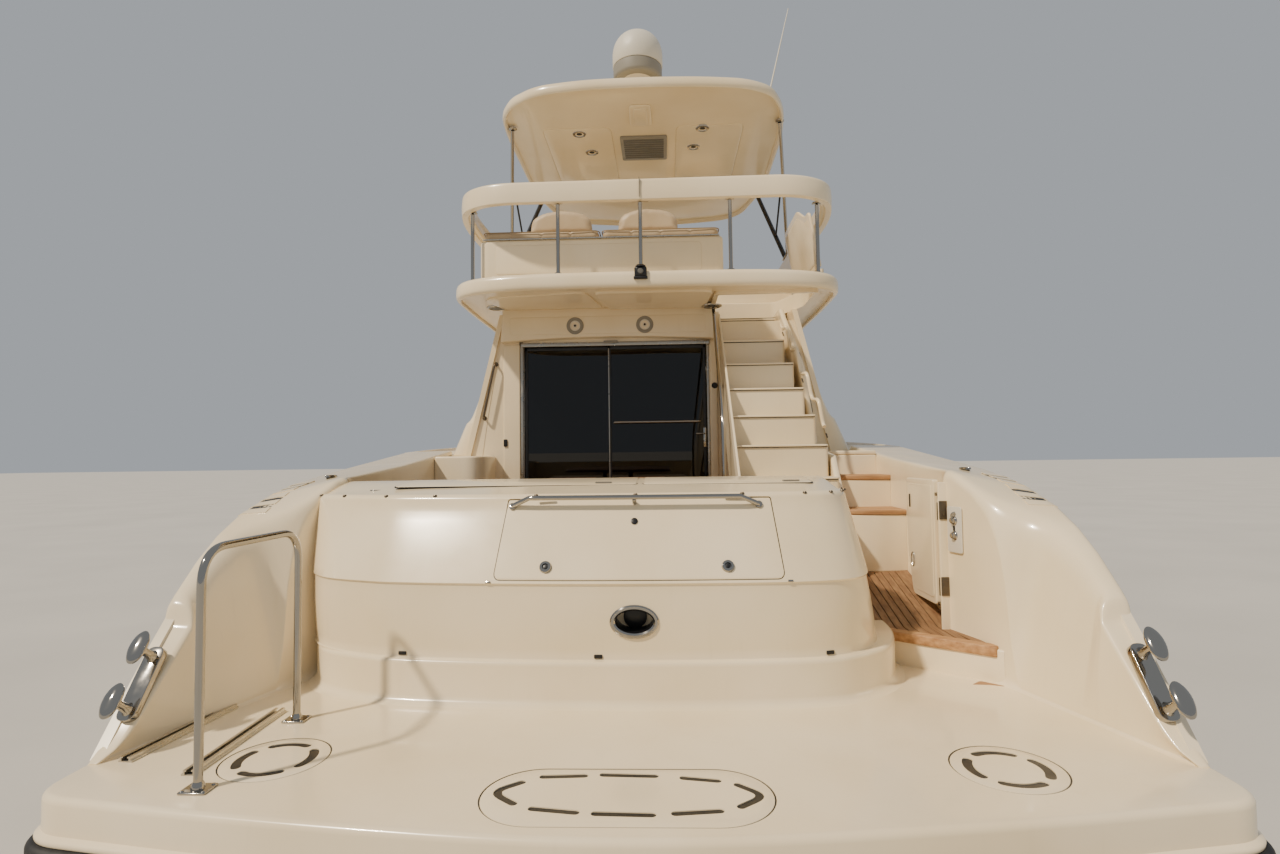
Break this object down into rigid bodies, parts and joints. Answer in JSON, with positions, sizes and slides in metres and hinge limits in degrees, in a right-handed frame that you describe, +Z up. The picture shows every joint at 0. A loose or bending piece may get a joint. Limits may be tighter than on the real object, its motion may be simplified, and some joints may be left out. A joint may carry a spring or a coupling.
{
  "type": "flybridge motor yacht",
  "caption": "Motor yacht afloat, with a swim platform, cockpit, glazed saloon, flybridge under a hardtop, turning propellers, rudders, sliding door, gate and lids.",
  "frame": {"origin": "on the waterline plane, on the centreline, amidships; this is the mount water, which the sea carries", "axes": "+Y forward to the bow, +X to starboard, +Z up"},
  "size_m": [4.8912, 16.805, 7.5422],
  "materials": {
    "hull_gelcoat": "polished gelcoat on glass-reinforced plastic, with dark antifouling below the waterline",
    "deck_gelcoat": "gelcoat on glass-reinforced plastic",
    "black_rubber": "extruded rubber strake",
    "polished_steel": "polished stainless steel",
    "dark_metal": "dark satin paint",
    "engine_paint": "grey enamel",
    "bronze": "cast bronze",
    "teak": "weathered teak with dark seams",
    "saloon_wood": "satin varnish",
    "beige_fabric": "woven outdoor cloth",
    "tinted_glass": "dark tinted glass",
    "white_plastic": "painted fibreglass rod"
  },
  "bodies": {
    "yacht": {"hull": "hull_gelcoat", "deck": "deck_gelcoat", "swim_platform": "deck_gelcoat", "platform_fender": "black_rubber", "transom_moulding": "deck_gelcoat", "grab_rail": "polished_steel", "passage_floor": "teak", "cockpit_sole": "teak", "side_steps": "deck_gelcoat", "cockpit_bench": "deck_gelcoat", "cockpit_bench_cushion": "beige_fabric", "cockpit_table": "teak", "aft_bulkhead": "deck_gelcoat", "fixed_door_panel": "tinted_glass", "stairs": "deck_gelcoat", "stair_handrail": "polished_steel", "house": "deck_gelcoat", "windscreen": "tinted_glass", "side_glass_port": "tinted_glass", "side_glass_starboard": "tinted_glass", "saloon_sole": "saloon_wood", "saloon_sofa": "beige_fabric", "lower_helm": "saloon_wood", "flybridge_deck": "deck_gelcoat", "flybridge_coaming": "deck_gelcoat", "flybridge_screen": "tinted_glass", "aft_rail": "deck_gelcoat", "flybridge_settee": "deck_gelcoat", "settee_cushion": "beige_fabric", "flybridge_console": "deck_gelcoat", "helm_seat": "beige_fabric", "hardtop": "deck_gelcoat", "hardtop_strut_port": "dark_metal", "hardtop_strut_starboard": "dark_metal", "radar_dome": "deck_gelcoat", "whip_antenna": "white_plastic", "bow_rail": "polished_steel", "anchor": "polished_steel", "sunpad": "beige_fabric", "bitts_port": "polished_steel", "bitts_starboard": "polished_steel", "rub_rail_port": "polished_steel", "rub_rail_starboard": "polished_steel", "engine_port": "engine_paint", "engine_starboard": "engine_paint"},
    "round_lid_port": {"round_lid_port": "deck_gelcoat"},
    "round_lid_starboard": {"round_lid_starboard": "deck_gelcoat"},
    "oval_lid": {"oval_lid": "deck_gelcoat"},
    "transom_hatch": {"transom_hatch": "deck_gelcoat"},
    "stern_gate": {"stern_gate": "deck_gelcoat"},
    "saloon_door": {"sliding_door_panel": "tinted_glass"},
    "stairwell_lid": {"stairwell_lid": "deck_gelcoat"},
    "foredeck_hatch": {"foredeck_hatch": "tinted_glass"},
    "lower_wheel": {"lower_wheel": "dark_metal"},
    "flybridge_wheel": {"flybridge_wheel": "dark_metal"},
    "propeller_port": {"propeller_port": "bronze"},
    "propeller_starboard": {"propeller_starboard": "bronze"},
    "rudder_port": {"rudder_port": "bronze"},
    "rudder_starboard": {"rudder_starboard": "bronze"}
  },
  "joints": [
    {"name": "round_lid_port_lift", "type": "slide", "parent": "yacht", "child": "round_lid_port", "axis": [0, 0, 1], "range_m": [0, 0.3]},
    {"name": "round_lid_starboard_lift", "type": "slide", "parent": "yacht", "child": "round_lid_starboard", "axis": [0, 0, 1], "range_m": [0, 0.3]},
    {"name": "oval_lid_lift", "type": "slide", "parent": "yacht", "child": "oval_lid", "axis": [0, 0, 1], "range_m": [0, 0.3]},
    {"name": "transom_hatch_hinge", "type": "hinge", "parent": "yacht", "child": "transom_hatch", "pos_m": [0, -6.89555, 1.48104], "axis": [-1, 0, 0], "range_deg": [0, 75]},
    {"name": "stern_gate_hinge", "type": "hinge", "parent": "yacht", "child": "stern_gate", "pos_m": [1.87, -6.28, 1.1], "axis": [0, 0, 1], "range_deg": [0, 90]},
    {"name": "saloon_door_slide", "type": "slide", "parent": "yacht", "child": "saloon_door", "axis": [-1, 0, 0], "range_m": [0, 0.86]},
    {"name": "stairwell_lid_hinge", "type": "hinge", "parent": "yacht", "child": "stairwell_lid", "pos_m": [1.545, -4.2, 3.315], "axis": [0, 1, 0], "range_deg": [-80, 0]},
    {"name": "foredeck_hatch_hinge", "type": "hinge", "parent": "yacht", "child": "foredeck_hatch", "pos_m": [0, 4.2, 2.446], "axis": [-1, 0, 0], "range_deg": [0, 85]},
    {"name": "propeller_port_spin", "type": "hinge", "parent": "yacht", "child": "propeller_port", "pos_m": [-0.7, -7.1, -0.75], "axis": [0, 0.9848, 0.1736], "continuous": true},
    {"name": "propeller_starboard_spin", "type": "hinge", "parent": "yacht", "child": "propeller_starboard", "pos_m": [0.7, -7.1, -0.75], "axis": [0, 0.9848, 0.1736], "continuous": true},
    {"name": "rudder_port_steer", "type": "hinge", "parent": "yacht", "child": "rudder_port", "pos_m": [-0.7, -7.5, -0.6], "axis": [0, 0, 1], "range_deg": [-35, 35]},
    {"name": "rudder_starboard_steer", "type": "hinge", "parent": "yacht", "child": "rudder_starboard", "pos_m": [0.7, -7.5, -0.6], "axis": [0, 0, 1], "range_deg": [-35, 35]},
    {"name": "lower_wheel_turn", "type": "hinge", "parent": "yacht", "child": "lower_wheel", "pos_m": [0.87, -0.185, 1.82], "axis": [0, -0.9063, 0.4226], "range_deg": [-630, 630]},
    {"name": "flybridge_wheel_turn", "type": "hinge", "parent": "yacht", "child": "flybridge_wheel", "pos_m": [-0.5, -0.57, 4.04], "axis": [0, -0.9063, 0.4226], "range_deg": [-630, 630]}
  ],
  "couplings": [
    {"joint": "rudder_starboard_steer", "follows": "rudder_port_steer", "ratio": 1},
    {"joint": "lower_wheel_turn", "follows": "rudder_port_steer", "ratio": 18},
    {"joint": "flybridge_wheel_turn", "follows": "rudder_port_steer", "ratio": 18}
  ]
}
